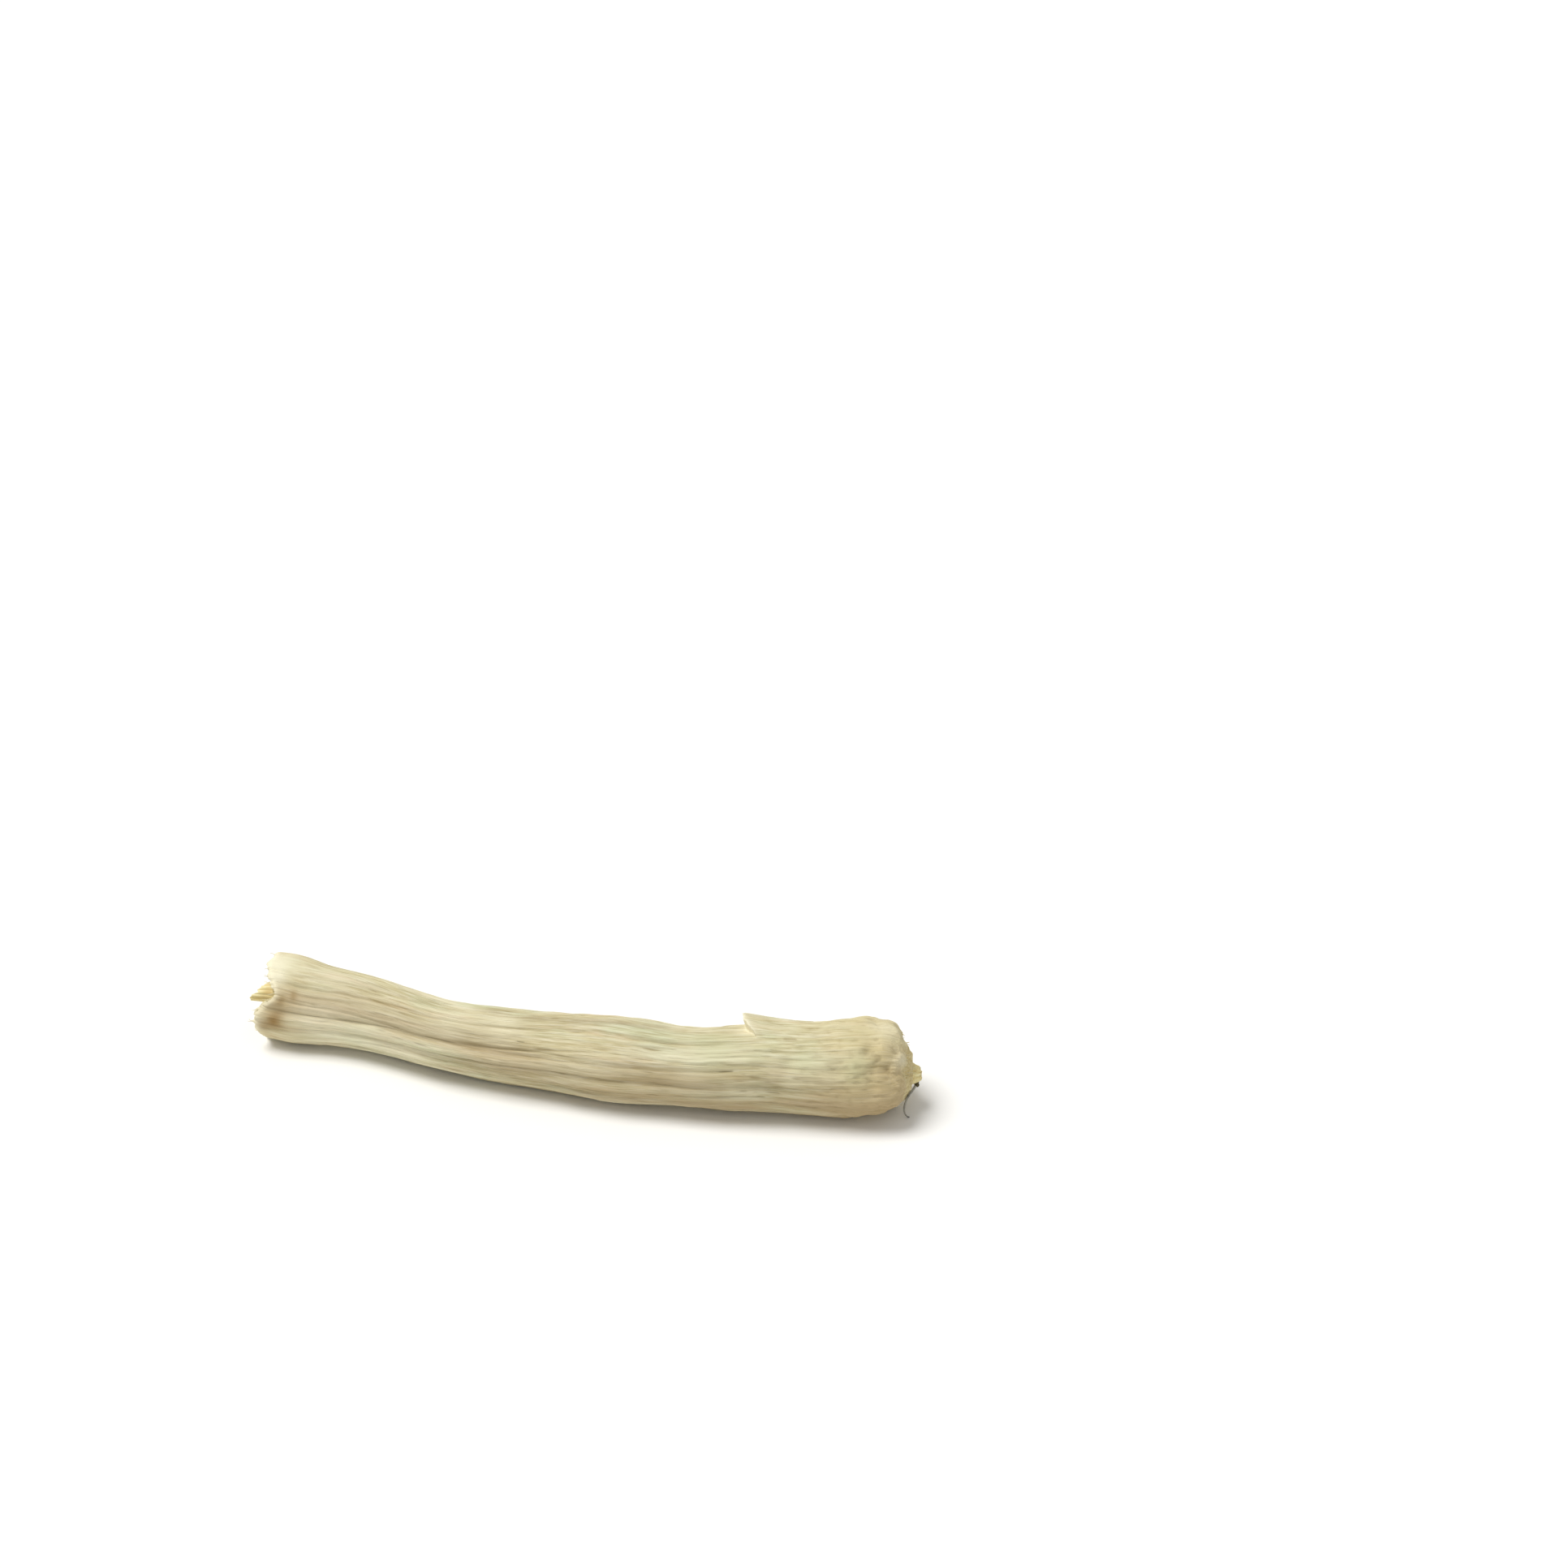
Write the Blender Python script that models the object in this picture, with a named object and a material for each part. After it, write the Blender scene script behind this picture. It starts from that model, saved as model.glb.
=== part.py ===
"""A dried shatavari root: one peeled, furrowed root, broken at both ends so that its woody core shows.

The root lies along X on the ground, bent sideways. A plain round blank is turned about X first, and every
point of it is then moved to its place on the bent, furrowed root by a formula.
"""

import math
import random

import bmesh
import bpy
import numpy as np
from mathutils import Vector, noise

MM = 0.001
NAME = "shatavari_root"

# The axis of the root, from its left end to its right end: along X, sideways along Y, then the root's half
# width and half height there. The last column is how far the underside is pressed below the ground plane,
# where the root has dried flat against what it lay on. Below zero it stands clear.
STATIONS = [
    # x, y, half width, half height, pressed
    (-49.6, 7.4, 6.7, 6.5, 0.2),
    (-42.0, 7.1, 6.4, 6.2, 0.5),
    (-35.0, 6.4, 6.1, 5.9, 0.2),
    (-28.0, 4.7, 5.8, 5.6, -0.3),
    (-20.0, 2.5, 5.6, 5.4, -0.5),
    (-11.0, 1.5, 6.0, 5.8, -0.1),
    (-2.0, 1.3, 6.6, 6.3, 0.3),
    (10.0, 0.8, 7.0, 6.8, 0.6),
    (20.0, 0.8, 6.6, 6.4, 0.1),
    (29.0, 2.0, 6.8, 6.6, -0.1),
    (37.0, 3.0, 7.1, 6.8, 0.3),
    (43.0, 4.1, 7.5, 7.1, 0.6),
    (47.0, 5.0, 7.1, 6.9, 0.4),
]
LEFT_END = STATIONS[0][0] * MM
RIGHT_END = STATIONS[-1][0] * MM

# The turned blank. Its ends are rings of a share of the root's radius, each so far out beyond the end in
# millimetres: on the left a hollow round a splinter of core, on the right a dome with the core's stub.
SIDES = 66
BLANK_RADIUS = 6.5 * MM
LEFT_FACE = [(0.0, 3.5), (0.12, 3.7), (0.2, 3.1), (0.25, 1.1), (0.29, -1.4), (0.44, -1.2), (0.64, -0.4), (0.84, 0.1)]
RIGHT_FACE = [(0.99, 1.2), (0.91, 2.4), (0.78, 3.3), (0.6, 3.9), (0.43, 4.2)]
RIGHT_STUB = [(0.37, 4.5), (0.31, 5.4), (0.2, 6.0), (0.0, 6.2)]
CORE_SHARE = 0.34
LEFT_CORE_LIFT = 0.7 * MM
RIGHT_CORE_LIFT = -0.5 * MM

# Lengthwise furrows, left as the peeled root shrank: one for each equal share of the girth, moved and sized
# by a seeded draw.
SEED = 11
FURROWS = 15
FURROW_DEPTH = (0.3 * MM, 0.8 * MM)
FURROW_WIDTH = (0.6 * MM, 1.05 * MM)
FURROW_FADE = 9.0 * MM
FURROW_WANDERS = 1.6
TWIST = math.radians(16.0)

# The outer layer has torn away from the middle of the root. It is left on the upper back of the right end,
# thickest at its torn edge, which runs back along the root on either side.
LAYER_EDGE = 25.9 * MM
LAYER_STEP = 0.5 * MM
LAYER_ANGLE = math.radians(124.0)
LAYER_SPREAD = math.radians(50.0)
LAYER_CURL = 2.1 * MM
LAYER_HEIGHT = 2.3 * MM
LAYER_REST = 0.35 * MM
LAYER_THINS = 6.0 * MM
WALL_RINGS = 36
LAYER_RINGS = 18

# Swellings and rootlet scars: x, angle, radius across, height. Angles count from the front, upwards.
KNOBS = [
    (-46.0, 118.0, 3.5, 0.5),
    (-45.0, -25.0, 3.0, 0.5),
    (-12.0, 205.0, 5.0, 0.7),
    (5.0, 60.0, 6.0, 0.4),
    (31.5, 39.0, 1.4, -0.5),
    (39.5, 33.0, 1.5, -0.55),
    (43.0, 78.0, 3.5, 0.7),
    (46.0, 27.0, 1.5, -0.8),
    (47.0, 50.0, 1.5, -0.7),
    (46.0, -8.0, 3.2, 0.7),
    (46.0, 140.0, 4.0, 0.8),
    (47.0, -58.0, 2.0, -0.9),
    (-30.0, 150.0, 1.6, -0.5),
    (18.0, 190.0, 1.8, -0.6),
]
LUMP_HEIGHT = 0.3 * MM
LUMP_LENGTH = 11.0 * MM

# How far the broken rims stand out past each end: angle, spread in degrees, millimetres out. A finer wave
# makes them ragged, and all of it fades along the wall.
LEFT_RIM = [(-25.0, 45.0, 1.2), (58.0, 28.0, -0.9), (115.0, 25.0, 0.4), (215.0, 30.0, 0.7)]
RIGHT_RIM = [(-75.0, 40.0, -0.4), (90.0, 40.0, 0.4), (200.0, 30.0, 0.5)]
RIM_RAGGED = 0.3 * MM
RIM_REACH = 7.0 * MM


def smooth_step(value):
    """Rises smoothly from 0 to 1 as value goes from 0 to 1."""
    held = np.clip(value, 0.0, 1.0)
    return held * held * (3.0 - 2.0 * held)


def turned(angle):
    """The angle brought between half a turn back and half a turn on."""
    return (angle + math.pi) % (2.0 * math.pi) - math.pi


def station_value(column, x):
    """One column of STATIONS at x, on a smooth curve through its values, and the slope of that curve."""
    table = np.array(STATIONS) * MM
    places, values = table[:, 0], table[:, column]
    slopes = np.gradient(values, places)
    k = np.clip(np.searchsorted(places, x, side="right") - 1, 0, len(places) - 2)
    span = places[k + 1] - places[k]
    u = (x - places[k]) / span
    start, end = values[k], values[k + 1]
    start_slope, end_slope = slopes[k] * span, slopes[k + 1] * span
    bend = 2.0 * (start - end) + start_slope + end_slope
    ease = -3.0 * (start - end) - 2.0 * start_slope - end_slope
    value = ((bend * u + ease) * u + start_slope) * u + start
    slope = ((3.0 * bend * u + 2.0 * ease) * u + start_slope) / span
    return value, slope


def furrow_relief(x, angle):
    """How deep the furrows cut at each point."""
    draw = random.Random(SEED)
    deep = np.zeros_like(x)
    along = (x - LEFT_END) / (RIGHT_END - LEFT_END)
    for k in range(FURROWS):
        middle = 2.0 * math.pi * (k + draw.uniform(-0.3, 0.3)) / FURROWS
        depth = draw.uniform(*FURROW_DEPTH)
        width = draw.uniform(*FURROW_WIDTH)
        start = LEFT_END + draw.uniform(-12.0, 22.0) * MM
        end = RIGHT_END + draw.uniform(-24.0, 8.0) * MM
        wander = draw.uniform(0.03, 0.09)
        phase = draw.uniform(0.0, 2.0 * math.pi)
        line = middle + TWIST * (along - 0.5) + wander * np.sin(2.0 * math.pi * FURROW_WANDERS * along + phase)
        aside = np.abs(turned(angle - line)) * BLANK_RADIUS / width
        fade = smooth_step((x - start) / FURROW_FADE) * smooth_step((end - x) / FURROW_FADE)
        deep += depth * fade * np.exp(-(aside**1.4))
    return deep


def knob_relief(x, angle):
    """The height of the swellings and scars at each point."""
    height = np.zeros_like(x)
    for place, turn, radius, rise in KNOBS:
        aside = turned(angle - math.radians(turn)) * BLANK_RADIUS
        away = ((x - place * MM) ** 2 + aside**2) / (radius * MM) ** 2
        height += rise * MM * np.exp(-away)
    return height


def lump_relief(x, angle):
    """Slow swellings over the whole root."""
    round_root = BLANK_RADIUS / LUMP_LENGTH
    places = zip(x / LUMP_LENGTH, round_root * np.cos(angle), round_root * np.sin(angle))
    return LUMP_HEIGHT * np.array([noise.noise(Vector(place)) for place in places])


def layer_relief(x, angle):
    """The height of the torn outer layer at each point."""
    aside = np.abs(turned(angle - LAYER_ANGLE)) / LAYER_SPREAD
    past = x - LAYER_EDGE
    window = 1.0 - smooth_step((aside - 0.55) / 0.45)
    height = LAYER_REST + (LAYER_HEIGHT - LAYER_REST) * np.exp(-np.maximum(past, 0.0) / LAYER_THINS)
    return window * height * smooth_step(past / LAYER_STEP + 0.5)


def layer_curl(x, angle):
    """How far along the root the torn edge, and what is near it, has run back at each point."""
    aside = np.minimum(np.abs(turned(angle - LAYER_ANGLE)) / LAYER_SPREAD, 1.2)
    return LAYER_CURL * aside**2 * np.exp(-(((x - LAYER_EDGE) / LAYER_THINS) ** 2))


def rim_offset(angle, rim):
    """How far a broken rim stands out past its end at each angle."""
    out = RIM_RAGGED * (np.sin(5.0 * angle + 2.0) + 0.6 * np.sin(9.0 * angle))
    for turn, spread, reach in rim:
        out = out + reach * MM * np.exp(-((turned(angle - math.radians(turn)) / math.radians(spread)) ** 2))
    return out


def on_root(blank):
    """Moves points of the turned blank to their places on the bent, furrowed root."""
    x = np.clip(blank[:, 0], LEFT_END, RIGHT_END)
    beyond = blank[:, 0] - x
    share = np.hypot(blank[:, 1], blank[:, 2]) / BLANK_RADIUS
    angle = np.arctan2(blank[:, 2], -blank[:, 1])

    skin = smooth_step((share - CORE_SHARE) / (1.0 - CORE_SHARE))
    near_left = 1.0 - smooth_step((x - LEFT_END) / RIM_REACH)
    near_right = 1.0 - smooth_step((RIGHT_END - x) / RIM_REACH)
    beyond += skin * (near_right * rim_offset(angle, RIGHT_RIM) - near_left * rim_offset(angle, LEFT_RIM))
    core_lift = (1.0 - skin) * (near_left * LEFT_CORE_LIFT + near_right * RIGHT_CORE_LIFT)

    relief = skin * (knob_relief(x, angle) + lump_relief(x, angle) + layer_relief(x, angle) - furrow_relief(x, angle))
    side, slope = station_value(1, x)
    half_width, half_height, pressed = (station_value(column, x)[0] for column in (2, 3, 4))
    front = share * np.cos(angle) * (half_width + relief)
    up = share * np.sin(angle) * (half_height + relief)

    length = np.hypot(1.0, slope)
    beyond += layer_curl(x, angle)
    placed = np.empty_like(blank)
    placed[:, 0] = x + (beyond + front * slope) / length
    placed[:, 1] = side + (beyond * slope - front) / length
    placed[:, 2] = np.maximum(half_height - pressed + up + core_lift, 0.0)
    return placed


def spaced(start, end, count):
    """Places from start to end, closer together near both."""
    share = np.linspace(0.0, 1.0, count)
    crowded = 0.5 - 0.5 * np.cos(math.pi * share)
    return start + (end - start) * (share + crowded) / 2.0


def blank_profile():
    """The half outline that is turned into the blank: (x, radius) from the left core's tip to the right one's."""
    left_wall = spaced(LEFT_END, LAYER_EDGE - LAYER_STEP / 2.0, WALL_RINGS)
    right_wall = spaced(LAYER_EDGE + LAYER_STEP / 2.0, RIGHT_END, LAYER_RINGS)
    outline = [(LEFT_END - out * MM, share * BLANK_RADIUS) for share, out in LEFT_FACE]
    outline += [(x, BLANK_RADIUS) for x in (*left_wall, *right_wall)]
    outline += [(RIGHT_END + out * MM, share * BLANK_RADIUS) for share, out in RIGHT_FACE + RIGHT_STUB]
    return outline


def make_root():
    """Turns the blank, moves its points onto the root and centres it over the origin."""
    bm = bmesh.new()
    outline = [bm.verts.new((x, -radius, 0.0)) for x, radius in blank_profile()]
    edges = [bm.edges.new(pair) for pair in zip(outline, outline[1:])]
    bmesh.ops.spin(
        bm,
        geom=outline + edges,
        cent=(0.0, 0.0, 0.0),
        axis=(1.0, 0.0, 0.0),
        angle=2.0 * math.pi,
        steps=SIDES,
        use_merge=True,
    )
    bmesh.ops.remove_doubles(bm, verts=bm.verts, dist=0.001 * MM)
    bmesh.ops.recalc_face_normals(bm, faces=bm.faces)

    placed = on_root(np.array([vert.co for vert in bm.verts]))
    middle = (placed.min(axis=0) + placed.max(axis=0)) / 2.0
    placed -= (middle[0], middle[1], 0.0)
    for vert, place in zip(bm.verts, placed):
        vert.co = place
    mesh = bpy.data.meshes.new(NAME)
    bm.to_mesh(mesh)
    bm.free()
    return mesh


def cortex_material():
    """Dried root cortex: pale straw and matt, with no metal in it."""
    material = bpy.data.materials.new("dried_cortex")
    material.use_nodes = True
    shader = material.node_tree.nodes["Principled BSDF"]
    shader.inputs["Base Color"].default_value = (0.60, 0.54, 0.34, 1.0)
    shader.inputs["Roughness"].default_value = 0.8
    shader.inputs["Metallic"].default_value = 0.0
    return material


def main():
    for old in list(bpy.data.objects):
        bpy.data.objects.remove(old, do_unlink=True)
    collection = bpy.data.collections.new(NAME)
    bpy.context.scene.collection.children.link(collection)
    mesh = make_root()
    mesh.materials.append(cortex_material())
    mesh.shade_smooth()
    collection.objects.link(bpy.data.objects.new(NAME, mesh))


main()
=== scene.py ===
# %% [markdown]
# # A dried shatavari root
#
# Shatavari is a climbing asparagus. Its fleshy roots are boiled, peeled and dried, and they shrink as they
# dry: the soft cortex wrinkles lengthwise over a thin woody core that can't shrink with it. This lesson
# makes one such root, about 107 mm long, lying on a pale surface.
#
# The solid that carries the root's size is loaded first and is never changed. The lesson makes finer
# pieces around it, which take its place in the picture.

import math
import random

import bmesh
import bpy
import numpy as np
from mathutils import Matrix, Vector, noise


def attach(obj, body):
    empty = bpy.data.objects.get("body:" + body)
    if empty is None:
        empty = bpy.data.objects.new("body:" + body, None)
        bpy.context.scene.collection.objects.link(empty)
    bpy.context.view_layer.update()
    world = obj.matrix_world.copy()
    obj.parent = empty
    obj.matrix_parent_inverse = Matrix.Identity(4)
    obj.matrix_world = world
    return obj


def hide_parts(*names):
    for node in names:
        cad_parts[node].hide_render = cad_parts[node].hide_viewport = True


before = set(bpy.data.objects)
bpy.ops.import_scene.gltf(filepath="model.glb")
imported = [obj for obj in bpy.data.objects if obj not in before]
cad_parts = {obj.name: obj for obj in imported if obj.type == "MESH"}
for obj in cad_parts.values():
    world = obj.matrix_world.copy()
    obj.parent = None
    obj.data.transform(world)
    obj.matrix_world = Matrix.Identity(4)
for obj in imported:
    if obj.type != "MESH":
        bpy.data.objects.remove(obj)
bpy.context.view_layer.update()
NODE = "shatavari_root"
MM = 0.001

# %% [markdown]
# ## The camera
#
# The root is seen from in front, 30 degrees above the ground, through a long lens that flattens
# perspective. The picture is square and looks at the middle of a wider heap, so the root lies low in it and
# left of its middle. Rather than being turned towards the root, the camera is set back along its own axis
# from where the root should appear, which keeps that framing without any lens shift.

# %% Camera
PICTURE = 1932.0
LENS = 85.0
SENSOR = 36.0
CAMERA_AZIMUTH = math.radians(11.0)
CAMERA_ELEVATION = math.radians(30.0)
CAMERA_DISTANCE = 569.0 * MM
AIM = Vector((0.0, 0.0, 6.5 * MM))
AIM_PIXEL = (713.5, 1282.4)

across = Vector((math.cos(CAMERA_AZIMUTH), math.sin(CAMERA_AZIMUTH), 0.0))
back = Vector((
    math.sin(CAMERA_AZIMUTH) * math.cos(CAMERA_ELEVATION),
    -math.cos(CAMERA_AZIMUTH) * math.cos(CAMERA_ELEVATION),
    math.sin(CAMERA_ELEVATION),
))
upward = back.cross(across)
pixel = CAMERA_DISTANCE * SENSOR / LENS / PICTURE
right_of_middle = (AIM_PIXEL[0] - PICTURE / 2.0) * pixel
below_middle = (AIM_PIXEL[1] - PICTURE / 2.0) * pixel

camera_data = bpy.data.cameras.new("camera")
camera_data.lens = LENS
camera_data.sensor_width = SENSOR
camera = bpy.data.objects.new("camera", camera_data)
camera.matrix_world = Matrix((across, upward, back)).transposed().to_4x4()
camera.location = AIM - across * right_of_middle + upward * below_middle + back * CAMERA_DISTANCE
bpy.context.scene.collection.objects.link(camera)
bpy.context.scene.camera = camera
print("camera at", [round(v / MM) for v in camera.location], "mm")
print("one picture pixel is", round(pixel / MM, 3), "mm at the root")

# %% [markdown]
# ## Light and floor
#
# A dull, pale thing such as dried root shows its furrows only where light comes from one side. A big soft
# sun from high on the left does that, and its wide disc keeps the shadows soft. White light from all round
# fills the shaded side, as the walls of a photographer's tent do. A sun is used rather than a lamp because
# it lights a wide floor evenly. The Standard view keeps the floor's white as white.

# %% Light and floor
SUN_STRENGTH = 2.5
SUN_DISC = math.radians(34.0)
SUN_FROM = Vector((-0.40, -0.06, 0.91))
SKY_STRENGTH = 0.5
FLOOR_SIZE = 12.0


def colour(code):
    """An sRGB hex colour as the linear red, green, blue and alpha that shaders take."""
    parts = [int(code[k:k + 2], 16) / 255.0 for k in (0, 2, 4)]
    linear = [v / 12.92 if v <= 0.04045 else ((v + 0.055) / 1.055) ** 2.4 for v in parts]
    return (*linear, 1.0)


sun_data = bpy.data.lights.new("soft_sun", "SUN")
sun_data.energy = SUN_STRENGTH
sun_data.angle = SUN_DISC
sun = bpy.data.objects.new("soft_sun", sun_data)
sun.rotation_euler = SUN_FROM.to_track_quat("Z", "Y").to_euler()
bpy.context.scene.collection.objects.link(sun)

world = bpy.data.worlds.new("white_tent")
world.use_nodes = True
world.node_tree.nodes["Background"].inputs["Color"].default_value = colour("FFFFFF")
world.node_tree.nodes["Background"].inputs["Strength"].default_value = SKY_STRENGTH
bpy.context.scene.world = world
bpy.context.scene.view_settings.view_transform = "Standard"
bpy.context.scene.view_settings.look = "None"


def new_material(name):
    """A material with its node tree and its Principled shader."""
    material = bpy.data.materials.new(name)
    material.use_nodes = True
    return material, material.node_tree, material.node_tree.nodes["Principled BSDF"]


def floor_material():
    """Matt white board, which takes a soft shadow and has no gloss of its own."""
    material, _, shader = new_material("matt_white_board")
    shader.inputs["Base Color"].default_value = colour("F2F1EE")
    shader.inputs["Roughness"].default_value = 0.9
    shader.inputs["Specular IOR Level"].default_value = 0.1
    return material


def new_object(name, bm, material):
    """Turns a finished bmesh into an object in the scene, with one material."""
    mesh = bpy.data.meshes.new(name)
    bm.to_mesh(mesh)
    bm.free()
    mesh.materials.append(material)
    piece = bpy.data.objects.new(name, mesh)
    bpy.context.scene.collection.objects.link(piece)
    return piece


bm = bmesh.new()
bmesh.ops.create_grid(bm, x_segments=1, y_segments=1, size=FLOOR_SIZE / 2.0)
floor = new_object("floor", bm, floor_material())
print("sun", SUN_STRENGTH, "sky", SKY_STRENGTH, "floor", FLOOR_SIZE, "m")

# %% [markdown]
# ## A straight blank, and the bent root it becomes
#
# A root could be sculpted by hand, but then nothing about it could be changed later. Here it is turned on a
# lathe first: a straight, plain blank, 13 mm thick, is spun about X. Then a formula moves every point of the
# blank to its place on the real root. Each point has three plain coordinates on the blank: how far along it
# is, its angle round the root counted from the front upwards, and its share of the radius. Everything that
# follows (furrows, torn layer, fibres, even the paint) is worked out from those three, so that it bends
# with the root.
#
# The stations below are the root's real sizes in millimetres. They and the formula are the same as in the
# solid, so the fine root has the solid's form.

# %% The root's axis and thickness
STATIONS = [
    # x, y, half width, half height, how far the underside is pressed below the ground
    (-49.6, 7.4, 6.7, 6.5, 0.2),
    (-42.0, 7.1, 6.4, 6.2, 0.5),
    (-35.0, 6.4, 6.1, 5.9, 0.2),
    (-28.0, 4.7, 5.8, 5.6, -0.3),
    (-20.0, 2.5, 5.6, 5.4, -0.5),
    (-11.0, 1.5, 6.0, 5.8, -0.1),
    (-2.0, 1.3, 6.6, 6.3, 0.3),
    (10.0, 0.8, 7.0, 6.8, 0.6),
    (20.0, 0.8, 6.6, 6.4, 0.1),
    (29.0, 2.0, 6.8, 6.6, -0.1),
    (37.0, 3.0, 7.1, 6.8, 0.3),
    (43.0, 4.1, 7.5, 7.1, 0.6),
    (47.0, 5.0, 7.1, 6.9, 0.4),
]
LEFT_END = STATIONS[0][0] * MM
RIGHT_END = STATIONS[-1][0] * MM
BLANK_RADIUS = 6.5 * MM
CORE_SHARE = 0.34


def smooth_step(value):
    """Rises smoothly from 0 to 1 as value goes from 0 to 1."""
    held = np.clip(value, 0.0, 1.0)
    return held * held * (3.0 - 2.0 * held)


def turned(angle):
    """The angle brought between half a turn back and half a turn on."""
    return (angle + math.pi) % (2.0 * math.pi) - math.pi


def station_value(column, x):
    """One column of STATIONS at x, on a smooth curve through its values, and the slope of that curve."""
    table = np.array(STATIONS) * MM
    places, values = table[:, 0], table[:, column]
    slopes = np.gradient(values, places)
    k = np.clip(np.searchsorted(places, x, side="right") - 1, 0, len(places) - 2)
    span = places[k + 1] - places[k]
    u = (x - places[k]) / span
    start, end = values[k], values[k + 1]
    start_slope, end_slope = slopes[k] * span, slopes[k + 1] * span
    bend = 2.0 * (start - end) + start_slope + end_slope
    ease = -3.0 * (start - end) - 2.0 * start_slope - end_slope
    value = ((bend * u + ease) * u + start_slope) * u + start
    slope = ((3.0 * bend * u + 2.0 * ease) * u + start_slope) / span
    return value, slope


print("root from", LEFT_END / MM, "to", RIGHT_END / MM, "mm, before its broken ends")

# %% [markdown]
# ## The large relief: furrows, swellings and the torn layer
#
# The furrows are lines drawn along the blank, one for each equal share of its girth, moved and sized by a
# seeded draw, so the root is the same each time. Each line is a sharp dip that wanders a little, twists with
# the root and fades out. Swellings and rootlet scars are round bumps and dents at places that were read off
# the real one. On the back of the thick end a strip of the outer layer is left: its torn edge stands 1.6 mm
# high, leans out over what is beneath, runs back along the root on either side, and bridges the furrows.
#
# The solid has the same forms from an earlier, coarser measurement, so a few places and heights differ.

# %% Large relief, much as in the solid
SEED = 11
FURROWS = 15
FURROW_DEPTH = (0.3 * MM, 0.8 * MM)
FURROW_WIDTH = (0.6 * MM, 1.05 * MM)
FURROW_FADE = 9.0 * MM
FURROW_WANDERS = 1.6
FURROW_SHARPNESS = 1.4
FURROW_STARTS = (-12.0, 22.0)
FURROW_ENDS = (-24.0, 8.0)
TWIST = math.radians(16.0)

LAYER_EDGE = 27.3 * MM
LAYER_STEP = 0.3 * MM
LAYER_ANGLE = math.radians(124.0)
LAYER_SPREAD = math.radians(50.0)
LAYER_CURL = 1.8 * MM
LAYER_HEIGHT = 1.6 * MM
LAYER_REST = 0.35 * MM
LAYER_LEAN = 0.9 * MM
LAYER_THINS = 6.0 * MM

KNOBS = [
    # x, angle, radius across, height
    (-46.0, 118.0, 3.5, 0.5),
    (-45.0, -25.0, 3.0, 0.5),
    (-12.0, 205.0, 5.0, 0.7),
    (5.0, 60.0, 6.0, 0.4),
    (34.0, 42.0, 1.2, -0.35),
    (41.0, 37.0, 1.4, -0.5),
    (43.0, 78.0, 3.5, 0.45),
    (46.0, 27.0, 1.5, -0.4),
    (47.0, 50.0, 1.3, -0.3),
    (46.0, -8.0, 3.2, 0.7),
    (46.0, 140.0, 4.0, 0.5),
    (47.0, -58.0, 2.0, -0.9),
    (-30.0, 150.0, 1.6, -0.5),
    (18.0, 190.0, 1.8, -0.6),
]
LUMP_HEIGHT = 0.3 * MM
LUMP_LENGTH = 11.0 * MM


def lengthwise_lines(x, angle, seed, count, depths, widths, starts, ends, sharpness):
    """How deep a set of lengthwise dips cuts at each point.

    Starts and ends are ranges for the draw, in millimetres from the left and from the right end of the wall.
    """
    draw = random.Random(seed)
    deep = np.zeros_like(x)
    along = (x - LEFT_END) / (RIGHT_END - LEFT_END)
    for k in range(count):
        middle = 2.0 * math.pi * (k + draw.uniform(-0.3, 0.3)) / count
        depth = draw.uniform(*depths)
        width = draw.uniform(*widths)
        start = LEFT_END + draw.uniform(*starts) * MM
        end = RIGHT_END + draw.uniform(*ends) * MM
        wander = draw.uniform(0.03, 0.09)
        phase = draw.uniform(0.0, 2.0 * math.pi)
        waves = wander * np.sin(2.0 * math.pi * FURROW_WANDERS * along + phase)
        line = middle + TWIST * (along - 0.5) + waves
        aside = np.abs(turned(angle - line)) * BLANK_RADIUS / width
        fade = smooth_step((x - start) / FURROW_FADE) * smooth_step((end - x) / FURROW_FADE)
        deep += depth * fade * np.exp(-(aside**sharpness))
    return deep


def furrow_relief(x, angle):
    """How deep the main furrows cut at each point."""
    return lengthwise_lines(
        x, angle, SEED, FURROWS, FURROW_DEPTH, FURROW_WIDTH, FURROW_STARTS, FURROW_ENDS, FURROW_SHARPNESS
    )


def noise_at(x, angle, long, wide, layer=0.0):
    """Noise from -1 to 1 at each point, in blotches long along the root and wide round it.

    Each use takes a layer of its own, so that no two patterns are alike.
    """
    girth = BLANK_RADIUS / wide
    places = np.stack([x / long + layer, girth * np.cos(angle), girth * np.sin(angle)], axis=1)
    return np.array([noise.noise(place) for place in places.tolist()])


def spots(x, angle, places):
    """Soft round spots added together, 0 away from all of them. Each is x, angle, radius and strength."""
    total = np.zeros_like(x)
    for place, turn, radius, strength in places:
        aside = turned(angle - math.radians(turn)) * BLANK_RADIUS
        total += strength * np.exp(-((x - place * MM) ** 2 + aside**2) / (radius * MM) ** 2)
    return total


def layer_window(angle):
    """1 on the angles that the torn outer layer covers, 0 off it."""
    aside = np.abs(turned(angle - LAYER_ANGLE)) / LAYER_SPREAD
    return 1.0 - smooth_step((aside - 0.55) / 0.45)


def layer_relief(x, angle):
    """The height of the torn outer layer at each point."""
    past = x - LAYER_EDGE
    height = LAYER_REST + (LAYER_HEIGHT - LAYER_REST) * np.exp(-np.maximum(past, 0.0) / LAYER_THINS)
    return layer_window(angle) * height * smooth_step(past / LAYER_STEP + 0.5)


def open_furrows(x, angle):
    """How deep the furrows are where the layer doesn't bridge them."""
    return furrow_relief(x, angle) * (1.0 - 0.8 * layer_relief(x, angle) / LAYER_HEIGHT)


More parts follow.
